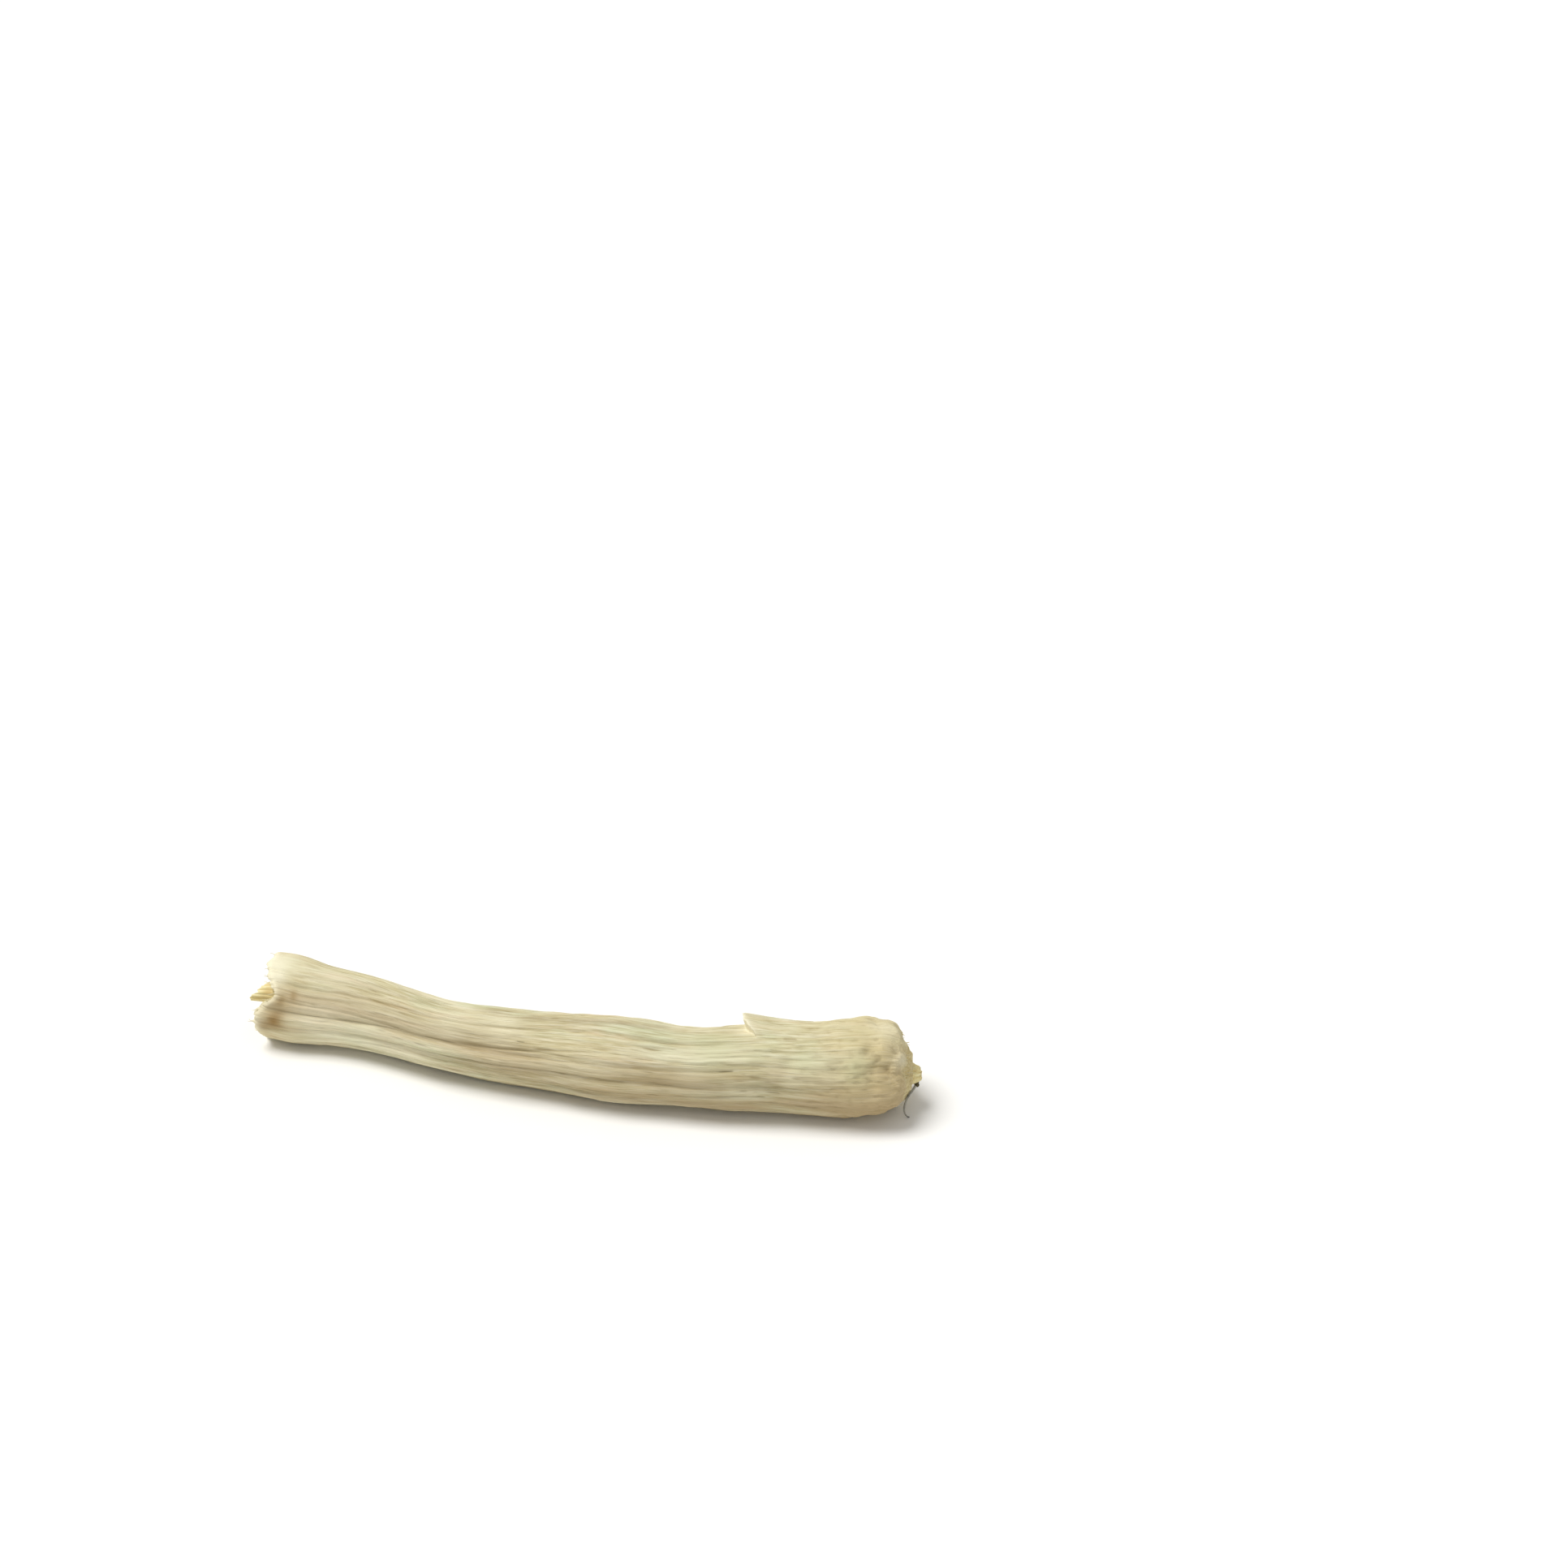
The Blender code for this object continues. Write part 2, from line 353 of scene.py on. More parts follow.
def large_relief(x, angle):
    """All the forms that the solid has too, added together."""
    lumps = LUMP_HEIGHT * noise_at(x, angle, LUMP_LENGTH, LUMP_LENGTH)
    return spots(x, angle, KNOBS) * MM + lumps + layer_relief(x, angle) - open_furrows(x, angle)


print(FURROWS, "furrows,", len(KNOBS), "swellings and scars, torn layer from", LAYER_EDGE / MM, "mm on")

# %% [markdown]
# ## The fine relief: wrinkles, fibres and flakes
#
# Seen close, dried cortex is a skin of fibres. Between the furrows run finer wrinkles a few centimetres
# long, the fibres themselves show as ridges half a millimetre apart, thin flakes of a paler layer are left
# from the peeling, and short slits mark old root hairs. The thick end, where the root joined its crown, is
# knuckled and pitted. All of it is real relief in the mesh rather than bump, because it catches the light
# along the outline too. Most of it is noise, stretched along the blank.

# %% Fine relief
WRINKLES = 52
WRINKLE_DEPTH = (0.06 * MM, 0.24 * MM)
WRINKLE_WIDTH = (0.16 * MM, 0.34 * MM)
WRINKLE_SHARPNESS = 1.6
WRINKLE_SETS = [
    # seed, starts, ends
    (23, (-20.0, 60.0), (-62.0, 6.0)),
    (41, (20.0, 88.0), (-10.0, 6.0)),
]
FIBRE_LENGTH = 9.0 * MM
FIBRE_SPACING = 0.5 * MM
FIBRE_HEIGHT = 0.07 * MM
FLAKE_LENGTH = 15.0 * MM
FLAKE_WIDTH = 3.0 * MM
FLAKE_HEIGHT = 0.11 * MM
SLIT_LENGTH = 2.6 * MM
SLIT_WIDTH = 0.28 * MM
SLIT_DEPTH = 0.12 * MM
KNUCKLE_SIZE = 2.1 * MM
KNUCKLE_HEIGHT = 0.5 * MM
KNUCKLE_REACH = 7.0 * MM
PIT_SIZE = 0.6 * MM
PIT_DEPTH = 0.1 * MM
PIT_REACH = 20.0 * MM
RIM_ROUNDS = 0.3 * MM
DIMPLES = [
    # x, angle, radius across, depth
    (48.2, 36.0, 0.8, 0.75),
    (48.9, 60.0, 0.7, 0.6),
    (44.8, 57.0, 0.7, 0.45),
]


def wrinkle_relief(x, angle):
    """How deep the fine wrinkles cut. Each is only part of the root's length."""
    deep = np.zeros_like(x)
    for seed, starts, ends in WRINKLE_SETS:
        deep += lengthwise_lines(
            x, angle, seed, WRINKLES, WRINKLE_DEPTH, WRINKLE_WIDTH, starts, ends, WRINKLE_SHARPNESS
        )
    return deep


def fibre_relief(x, angle):
    """Fine ridges that follow the root, sharper on top than in between."""
    coarse = 1.0 - 2.0 * np.abs(noise_at(x, angle, FIBRE_LENGTH, FIBRE_SPACING, 3.0))
    fine = noise_at(x, angle, FIBRE_LENGTH / 2.0, FIBRE_SPACING / 2.0, 7.0)
    return FIBRE_HEIGHT * (coarse - 0.5) + 0.4 * FIBRE_HEIGHT * fine


def flake_cover(x, angle):
    """1 where a thin flake of the paler layer is left, 0 elsewhere, with a feathered edge."""
    broad = noise_at(x, angle, FLAKE_LENGTH, FLAKE_WIDTH, 11.0)
    feather = noise_at(x, angle, FIBRE_LENGTH / 3.0, FIBRE_SPACING, 13.0)
    return smooth_step((broad + 0.25 * feather - 0.08) / 0.12)


def slit_cover(x, angle):
    """1 in the short slits that old root hairs left, 0 elsewhere."""
    return smooth_step((noise_at(x, angle, SLIT_LENGTH, SLIT_WIDTH, 17.0) - 0.46) / 0.25)


def knuckle_relief(x, angle):
    """The lumps of the thick end, which grow towards its rim."""
    near = smooth_step(1.0 - (RIGHT_END - x) / KNUCKLE_REACH)
    return near * KNUCKLE_HEIGHT * noise_at(x, angle, KNUCKLE_SIZE, KNUCKLE_SIZE, 21.0)


def pit_cover(x, angle):
    """1 in the small pits of the thick end, which is less fibrous than the rest, 0 elsewhere."""
    near = smooth_step(1.0 - (RIGHT_END - x) / PIT_REACH)
    return near * smooth_step((noise_at(x, angle, 1.6 * PIT_SIZE, PIT_SIZE, 35.0) - 0.12) / 0.35)


def fine_relief(x, angle):
    """All the relief that is finer than the solid's."""
    laid = FLAKE_HEIGHT * flake_cover(x, angle) - SLIT_DEPTH * slit_cover(x, angle)
    pitted = PIT_DEPTH * pit_cover(x, angle) + spots(x, angle, DIMPLES) * MM
    rounded = RIM_ROUNDS * np.exp(-(((x - LEFT_END) / RIM_ROUNDS) ** 2))
    raised = fibre_relief(x, angle) + knuckle_relief(x, angle) + laid
    return raised - wrinkle_relief(x, angle) - pitted - rounded


print(len(WRINKLE_SETS) * WRINKLES, "wrinkles, fibres", FIBRE_SPACING / MM, "mm apart")
print("flakes", FLAKE_HEIGHT / MM, "mm thick")

# %% [markdown]
# ## The broken ends, and moving points onto the root
#
# Dried root snaps unevenly. Each rim stands out more at some angles than at others, with a fine tooth where
# single fibres let go, and all of it fades along the wall. The face inside the rim is ragged too.
#
# `on_root` is the formula itself. It takes points of the blank and gives their places on the root, flat where
# the root rests on the ground. The body, the core and the torn fibres below are modelled straight and then go
# through it.

# %% Ends, and the formula
LEFT_RIM = [(-25.0, 45.0, 0.8), (44.0, 26.0, -2.2), (112.0, 28.0, 0.4), (215.0, 30.0, 0.7)]
RIGHT_RIM = [(-75.0, 40.0, -0.4), (98.0, 38.0, 0.6), (200.0, 30.0, 0.5)]
RIM_RAGGED = 0.3 * MM
RIM_TOOTH = 0.45 * MM
RIM_REACH = 7.0 * MM
TOOTH_REACH = 1.6 * MM
TOOTH_SIZES = (0.9 * MM, 0.35 * MM)
LEFT_CORE_LIFT = 1.0 * MM
RIGHT_CORE_LIFT = -0.2 * MM
LEFT_FACE_ROUGH = 0.75 * MM
RIGHT_FACE_ROUGH = 0.45 * MM
FACE_GRAINS = (2.4 * MM, 1.1 * MM, 0.6 * MM)


def rim_offset(angle, rim):
    """How far a broken rim stands out past its end at each angle, in its larger waves."""
    out = RIM_RAGGED * (np.sin(5.0 * angle + 2.0) + 0.6 * np.sin(9.0 * angle))
    for turn, spread, reach in rim:
        out = out + reach * MM * np.exp(-((turned(angle - math.radians(turn)) / math.radians(spread)) ** 2))
    return out


def tooth(angle, layer):
    """The fine tooth of a torn edge at each angle, from -1 to 1."""
    still = np.zeros_like(angle)
    coarse = noise_at(still, angle, 1.0, TOOTH_SIZES[0], layer)
    fine = noise_at(still, angle, 1.0, TOOTH_SIZES[1], layer + 5.0)
    return 0.6 * coarse + 0.6 * fine


def layer_curl(x, angle):
    """How far along the root the torn layer is moved at each point: swept back at its sides, its lip out."""
    aside = np.abs(turned(angle - LAYER_ANGLE)) / LAYER_SPREAD
    curl = LAYER_CURL * np.minimum(aside, 1.1) ** 2 * np.exp(-(((x - LAYER_EDGE) / LAYER_THINS) ** 2))
    torn = RIM_TOOTH * tooth(angle, 31.0) * np.exp(-(((x - LAYER_EDGE) / TOOTH_REACH) ** 2))
    lean = LAYER_LEAN * layer_relief(x, angle) / LAYER_HEIGHT
    return (curl + torn) * (1.0 - smooth_step((aside - 1.0) / 0.7)) - lean


def face_roughness(share, angle):
    """How ragged the broken face is: stiff fibres broken at different lengths."""
    inside = smooth_step((0.99 - share) / 0.08) * smooth_step((share - CORE_SHARE) / 0.06)
    radius = share * BLANK_RADIUS
    across_face = np.stack([radius * np.cos(angle), radius * np.sin(angle)], axis=1).tolist()
    rough = np.zeros_like(share)
    for k, grain in enumerate(FACE_GRAINS):
        rough += 0.6**k * np.array([noise.noise((a / grain, b / grain, 5.0 * k)) for a, b in across_face])
    return inside * rough


def straight_coordinates(blank):
    """The place along, the distance past the end, the share of the radius and the angle of each point."""
    x = np.clip(blank[:, 0], LEFT_END, RIGHT_END)
    share = np.hypot(blank[:, 1], blank[:, 2]) / BLANK_RADIUS
    angle = np.arctan2(blank[:, 2], -blank[:, 1])
    return x, blank[:, 0] - x, share, angle


def on_root(blank):
    """Moves points of the straight blank to their places on the bent, furrowed root."""
    x, beyond, share, angle = straight_coordinates(blank)
    skin = smooth_step((share - CORE_SHARE) / (1.0 - CORE_SHARE))
    near_left = 1.0 - smooth_step((x - LEFT_END) / RIM_REACH)
    near_right = 1.0 - smooth_step((RIGHT_END - x) / RIM_REACH)
    at_left = np.exp(-(((x - LEFT_END) / TOOTH_REACH) ** 2)) * RIM_TOOTH * tooth(angle, 0.0)
    left_out = near_left * rim_offset(angle, LEFT_RIM) + at_left
    right_out = near_right * rim_offset(angle, RIGHT_RIM)
    rough = face_roughness(share, angle) * (RIGHT_FACE_ROUGH * near_right - LEFT_FACE_ROUGH * near_left)
    beyond = beyond + skin * (right_out - left_out) + rough
    core_lift = (1.0 - skin) * (near_left * LEFT_CORE_LIFT + near_right * RIGHT_CORE_LIFT)

    relief = skin * (large_relief(x, angle) + fine_relief(blank[:, 0], angle))
    side, slope = station_value(1, x)
    half_width, half_height, pressed = (station_value(column, x)[0] for column in (2, 3, 4))
    front = share * np.cos(angle) * (half_width + relief)
    up = share * np.sin(angle) * (half_height + relief)

    length = np.hypot(1.0, slope)
    beyond = beyond + layer_curl(x, angle)
    placed = np.empty_like(blank)
    placed[:, 0] = x + (beyond + front * slope) / length
    placed[:, 1] = side + (beyond * slope - front) / length
    placed[:, 2] = np.maximum(half_height - pressed + up + core_lift, 0.0)
    return placed


left_waves = rim_offset(np.linspace(0.0, 2.0 * math.pi, 90), LEFT_RIM) / MM
print("the left rim stands out by", left_waves.min().round(1), "to", left_waves.max().round(1), "mm")

# %% [markdown]
# ## The body of the root
#
# The outline of the blank runs from the middle of the left face, out over its rim, along the wall and round
# the domed right face. `spin` turns it, and `remove_doubles` joins the seam and the two poles. Rings crowd
# together at both rims and at the torn edge, where the shape changes fastest.
#
# Each point's straight coordinates are kept on the mesh as an attribute, and so are a few masks (how deep in
# a furrow a point is, whether a flake covers it), because the materials will ask for them.

# %% The body of the root
SIDES = 320
WALL_RINGS = 176
LAYER_RINGS = 66
FACE_RINGS = 30
LEFT_FACE = [(0.0, -1.5), (0.29, -1.4), (0.44, -1.2), (0.64, -0.4), (0.84, 0.1), (0.97, 0.1)]
RIGHT_FACE = [(0.99, 1.2), (0.91, 2.5), (0.78, 3.5), (0.6, 4.2), (0.45, 4.8), (0.3, 5.2), (0.0, 5.3)]


def spaced(start, end, count):
    """Places from start to end, closer together near both."""
    share = np.linspace(0.0, 1.0, count)
    crowded = 0.5 - 0.5 * np.cos(math.pi * share)
    return start + (end - start) * (share + crowded) / 2.0


def face_outline(face, end, direction):
    """The outline of a broken face as (x, radius), from the few (share, out) that describe it."""
    steps = np.linspace(0.0, len(face) - 1.0, FACE_RINGS)
    shares, outs = (np.interp(steps, range(len(face)), column) for column in np.array(face).T)
    return [(end + direction * out * MM, share * BLANK_RADIUS) for share, out in zip(shares, outs)]


def turn(outline, sides):
    """Spins an outline of (x, radius) about X into a closed bmesh."""
    bm = bmesh.new()
    verts = [bm.verts.new((x, -radius, 0.0)) for x, radius in outline]
    edges = [bm.edges.new(pair) for pair in zip(verts, verts[1:])]
    bmesh.ops.spin(
        bm,
        geom=verts + edges,
        cent=(0.0, 0.0, 0.0),
        axis=(1.0, 0.0, 0.0),
        angle=2.0 * math.pi,
        steps=sides,
        use_merge=True,
    )
    bmesh.ops.remove_doubles(bm, verts=bm.verts, dist=0.0005 * MM)
    bmesh.ops.recalc_face_normals(bm, faces=bm.faces)
    return bm


def body_outline():
    """The half outline of the blank, from the middle of its left face to the middle of its right face."""
    left_wall = spaced(LEFT_END, LAYER_EDGE - LAYER_STEP / 2.0, WALL_RINGS)
    right_wall = spaced(LAYER_EDGE + LAYER_STEP / 2.0, RIGHT_END, LAYER_RINGS)
    lip = np.linspace(left_wall[-1], right_wall[0], 5)[1:-1]
    wall = [(x, BLANK_RADIUS) for x in (*left_wall, *lip, *right_wall)]
    return face_outline(LEFT_FACE, LEFT_END, -1.0) + wall + face_outline(RIGHT_FACE, RIGHT_END, 1.0)


def point_array(bm):
    """The places of all points, one row each."""
    return np.array([vert.co for vert in bm.verts])


def place_points(bm, places):
    """Puts every point at its row of places."""
    for vert, place in zip(bm.verts, places):
        vert.co = place


def keep_values(piece, name, values):
    """Stores a number or a vector for every point of a piece, for its material to read."""
    kind, field = ("FLOAT", "value") if values.ndim == 1 else ("FLOAT_VECTOR", "vector")
    attribute = piece.data.attributes.new(name, kind, "POINT")
    attribute.data.foreach_set(field, values.astype(np.float32).ravel())


bm = turn(body_outline(), SIDES)
straight = point_array(bm)
placed = on_root(straight)
middle = (placed.min(axis=0) + placed.max(axis=0)) / 2.0
CENTRE = np.array([middle[0], middle[1], 0.0])
place_points(bm, placed - CENTRE)
print(len(bm.verts), "points; the root is centred by", (CENTRE / MM).round(2))

# %% [markdown]
# ## Peeled, dried cortex
#
# The outside of the root is cortex, peeled wet and dried in the sun: matt, fibrous and straw-coloured. To the
# eye it is never one colour. Fibres show as fine pale and dark streaks, furrows hold brown dust, the flakes
# left from peeling are paler, and broad streaks lean to olive, to green or to pink. So each of those is a
# layer of its own, mixed in turn over a straw base. Painted shade is mixed in too: the furrows, dents and
# drawn lines are darkened with the dust, and a browner band runs along the front. All patterns read the
# straight coordinates, so the streaks follow the bends. Roughness stays high, and a fine bump makes the
# fibres too thin for the mesh.
#
# Where the root is snapped across, the same fibres are seen end on, yellower and gritty. A mask with a
# feathered edge mixes that look in, because on the real root the two run into each other.

# %% A node helper, and the cortex material
STREAK_LENGTH = 11.0 * MM
STREAK_WIDTH = 0.6 * MM
BAND_LENGTH = 15.0 * MM
BAND_WIDTH = 1.5 * MM
PATCH_LENGTH = 11.0 * MM
PATCH_WIDTH = 4.0 * MM
CORD_LENGTH = 5.0 * MM
CORD_WIDTH = 0.34 * MM
THREAD_LENGTH = 4.0 * MM
THREAD_WIDTH = 0.15 * MM


def add(tree, kind, settings=None, inputs=None, stops=None):
    """Adds a node, sets its settings, sets or links its inputs by name or place, and sets a ramp's stops."""
    node = tree.nodes.new(kind)
    for name, value in (settings or {}).items():
        setattr(node, name, value)
    for name, value in (inputs or {}).items():
        if isinstance(value, bpy.types.NodeSocket):
            tree.links.new(value, node.inputs[name])
        else:
            node.inputs[name].default_value = value
    for k, (place, value) in enumerate(stops or []):
        elements = node.color_ramp.elements
        stop = elements[k] if k < len(elements) else elements.new(place)
        stop.position = place
        stop.color = colour(value) if isinstance(value, str) else (value, value, value, 1.0)
    return node


def stored(tree, name):
    """The output that reads one of the piece's stored values."""
    node = add(tree, "ShaderNodeAttribute", {"attribute_name": name})
    return node.outputs["Vector" if name == "grain" else "Fac"]


def streaks(tree, long, wide, detail=3.0, shift=0.0):
    """Noise from 0 to 1, stretched along the grain."""
    stretched = add(tree, "ShaderNodeMapping", None, {
        "Vector": stored(tree, "grain"),
        "Scale": (1.0 / long, 1.0 / wide, 1.0 / wide),
        "Location": (shift, shift, 0.0),
    })
    settings = {"Vector": stretched.outputs["Vector"], "Scale": 1.0, "Detail": detail, "Roughness": 0.55}
    return add(tree, "ShaderNodeTexNoise", None, settings).outputs["Fac"]


def ramp(tree, factor, stops):
    """The colour or grey that a factor becomes."""
    return add(tree, "ShaderNodeValToRGB", None, {"Fac": factor}, stops).outputs["Color"]


def mixed(tree, factor, under, over):
    """Two colours mixed by a factor. Inputs 0, 6 and 7 of a colour Mix are its factor and its two colours."""
    return add(tree, "ShaderNodeMix", {"data_type": "RGBA"}, {0: factor, 6: under, 7: over}).outputs[2]


def product(tree, one, other):
    """Two factors multiplied."""
    return add(tree, "ShaderNodeMath", {"operation": "MULTIPLY"}, {0: one, 1: other}).outputs[0]


def cortex_material():
    """Sun-dried, peeled cortex: matt straw fibres, so the eye sees streaks and dusty furrows and no gloss.
    The furrows, a band along the front and the hollow left end also carry painted shade.
    """
    material, tree, shader = new_material("sun_dried_peeled_cortex")
    fibres = streaks(tree, STREAK_LENGTH, STREAK_WIDTH)
    threads = streaks(tree, THREAD_LENGTH, THREAD_WIDTH, 2.0, 3.0)
    cords = streaks(tree, CORD_LENGTH, CORD_WIDTH, 4.0, 5.0)
    bands = streaks(tree, BAND_LENGTH, BAND_WIDTH, 3.0, 9.0)
    patches = streaks(tree, PATCH_LENGTH, PATCH_WIDTH, 2.0, 7.0)

    straw = ramp(tree, fibres, [(0.3, "CBC197"), (0.5, "D8CFA8"), (0.7, "E6DFBF")])
    olive = mixed(tree, ramp(tree, bands, [(0.3, 0.55), (0.46, 0.0)]), straw, colour("B3AB80"))
    rosy = mixed(tree, ramp(tree, bands, [(0.54, 0.0), (0.7, 0.6)]), olive, colour("DCC4A0"))
    green = mixed(tree, ramp(tree, patches, [(0.5, 0.0), (0.7, 0.5)]), rosy, colour("CFD9B5"))
    corded = mixed(tree, ramp(tree, cords, [(0.32, 0.5), (0.46, 0.0)]), green, colour("AD9E72"))
    threaded = mixed(tree, ramp(tree, threads, [(0.34, 0.5), (0.5, 0.0)]), corded, colour("A8986C"))
    glints = mixed(tree, ramp(tree, threads, [(0.54, 0.0), (0.7, 0.55)]), threaded, colour("EFEAD2"))
    flaked = mixed(tree, product(tree, stored(tree, "flake"), 0.3), glints, colour("E9E4C8"))
    mellow = mixed(tree, product(tree, stored(tree, "mellow"), 0.6), flaked, colour("CAB784"))
    # painted shade: a browner band along the front flank
    painted_flank_shade = mixed(tree, product(tree, stored(tree, "painted_flank_shade"), 0.7), mellow, colour("B29A74"))
    mossy = mixed(tree, product(tree, stored(tree, "green"), 0.7), painted_flank_shade, colour("BFCB9F"))
    cord_weight = ramp(tree, cords, [(0.35, 1.0), (0.6, 0.5)])
    # dust in the furrows, together with painted shade that darkens them by their depth
    dusty_and_shaded = mixed(tree, product(tree, stored(tree, "furrow"), cord_weight), mossy, colour("8F7E58"))
    pale = mixed(tree, stored(tree, "pale"), dusty_and_shaded, colour("F0E9CC"))
    # brown spots on the front of the left end
    wall = mixed(tree, stored(tree, "brown_spot"), pale, colour("977A4A"))

    grit = streaks(tree, 2.0 * MM, 0.35 * MM)
    clumps = streaks(tree, 4.0 * MM, 1.6 * MM, 2.0, 5.0)
    snapped = ramp(tree, grit, [(0.3, "BEA974"), (0.5, "D6C796"), (0.7, "EADFB4")])
    clumped = mixed(tree, ramp(tree, clumps, [(0.42, 0.0), (0.62, 0.75)]), snapped, colour("C6B27C"))
    # a tan middle on each broken face, and painted shade in the hollow of the left end, where it is strongest
    face = mixed(tree, product(tree, stored(tree, "hollow"), 0.6), clumped, colour("9B8557"))
    both = mixed(tree, stored(tree, "broken"), wall, face)
    tree.links.new(both, shader.inputs["Base Color"])

    rough = add(tree, "ShaderNodeMapRange", None, {"Value": fibres, "To Min": 0.74, "To Max": 0.94})
    tree.links.new(rough.outputs["Result"], shader.inputs["Roughness"])
    shader.inputs["Specular IOR Level"].default_value = 0.3
    normal = add(tree, "ShaderNodeBump", None, {"Height": cords, "Distance": 0.14 * MM}).outputs["Normal"]
    grits = product(tree, grit, stored(tree, "broken"))
    for height, depth in ((threads, 0.07 * MM), (grits, 0.25 * MM)):
        inputs = {"Height": height, "Distance": depth, "Normal": normal}
        normal = add(tree, "ShaderNodeBump", None, inputs).outputs["Normal"]
    tree.links.new(normal, shader.inputs["Normal"])
    return material


body = new_object("root_body", bm, cortex_material())
print("material:", body.data.materials[0].name, "with", len(body.data.materials[0].node_tree.nodes), "nodes")

# %% [markdown]
# ## The masks, painted by place
#
# Some marks sit at one place on the real root: brown spots on the front of the left end, its paler top
# corner, olive streaks along the middle, the fresh pale edge of the torn layer. Others are painted shade: a
# browner band along the front flank, and part of the darkening of the drawn lines. Each is a soft spot or a
# soft line on the straight coordinates, listed in millimetres and degrees.

# %% Masks
# Brown spots on the front of the left end, darker than its rim
BROWN_SPOTS = [
    # x, angle, radius, strength
    (-46.8, -2.0, 1.4, 0.9),
    (-48.3, -14.0, 1.0, 0.5),
    (-46.6, 13.0, 1.3, 0.4),
    (-47.8, 30.0, 0.8, 0.5),
    (-44.8, 43.0, 1.0, 0.55),
]
PALE_SPOTS = [
    # x, angle, radius, strength
    (-48.2, 88.0, 3.0, 0.8),
    (-48.4, 66.0, 1.6, 0.5),
    (-49.2, -10.0, 1.6, 0.4),
    (-18.0, 65.0, 4.0, 0.3),
    (-10.0, 67.0, 3.5, 0.35),
    (19.6, 39.0, 3.5, 0.25),
    (-41.0, 4.0, 4.0, 0.35),
    (-36.0, -14.0, 5.0, 0.4),
    (-29.0, -12.0, 5.0, 0.35),
    (-23.0, -22.0, 4.0, 0.3),
    (26.9, 95.0, 1.6, 0.5),
    (47.8, 92.0, 2.4, 0.4),
    (50.2, 50.0, 1.3, 0.5),
]
GREEN_SPOTS = [
    # x, angle, radius, strength
    (-48.0, 84.0, 2.2, 0.5),
    (-33.0, -20.0, 2.2, 0.5),
    (22.0, 60.0, 3.5, 0.5),
    (29.0, 52.0, 3.0, 0.35),
    (36.0, 48.0, 3.0, 0.4),
    (43.5, 38.0, 2.4, 0.45),
]
# Dark lines along the root: olive streaks of its own colour, and in part painted shade in creases and below
# ridges
MARKS = [
    # from x, to x, angle, half width, strength
    (-46.0, 44.0, 84.0, 1.3, 0.13),
    (-10.0, 13.0, 87.0, 0.5, 0.8),
    (-8.0, 6.0, 81.0, 0.9, 0.5),
    (-43.0, -8.0, 41.0, 1.5, 0.5),
    (-21.0, -6.0, 44.0, 1.3, 0.25),
    (-29.0, -20.0, 17.0, 1.2, 0.2),
    (-23.0, -10.0, -3.0, 1.0, 0.2),
    (8.0, 25.0, 17.0, 1.2, 0.15),
    (14.0, 25.0, -2.0, 1.5, 0.3),
    (26.0, 33.0, 13.0, 1.3, 0.4),
    (28.0, 34.0, 38.0, 1.3, 0.25),
    (-18.0, -13.0, 31.0, 0.25, 0.5),
    (-4.2, -1.5, 36.0, 0.25, 0.5),
    (28.3, 31.2, 20.0, 0.3, 0.4),
    (34.8, 38.8, 24.0, 0.35, 0.45),
    (32.2, 34.6, 76.0, 0.25, 0.7),
    (-36.0, -31.0, 20.0, 0.3, 0.4),
]
# A browner band along the front of the root, lower on it towards the thick end: painted shade, tinted brown
FLANK_SHADE_LINE = [
    # x, angle, spread, strength
    (-48.0, 36.0, 26.0, 1.0),
    (-20.0, 37.0, 28.0, 1.0),
    (0.0, -8.0, 42.0, 0.8),
    (20.0, -20.0, 52.0, 1.05),
    (50.0, -18.0, 60.0, 1.2),
]
MELLOW_REACH = 12.0 * MM
TORN_WIDTH = 0.45 * MM
RIM_WIDTH = 0.8 * MM
# shares of the radius where the wall's look starts and where the break's look ends, at the left and the right
WALL_FROM = (0.9, 0.7)
BREAK_UP_TO = (0.93, 0.7)


def drawn_marks(x, angle):
    """Soft lengthwise lines added together."""
    total = np.zeros_like(x)
    for start, end, turn, half_width, strength in MARKS:
        aside = turned(angle - math.radians(turn)) * BLANK_RADIUS / (half_width * MM)
        fade = max(0.7, 0.3 * (end - start))
        ends = smooth_step((x / MM - start) / fade + 0.5) * smooth_step((end - x / MM) / fade + 0.5)
        total += strength * ends * np.exp(-(aside**2))
    return total


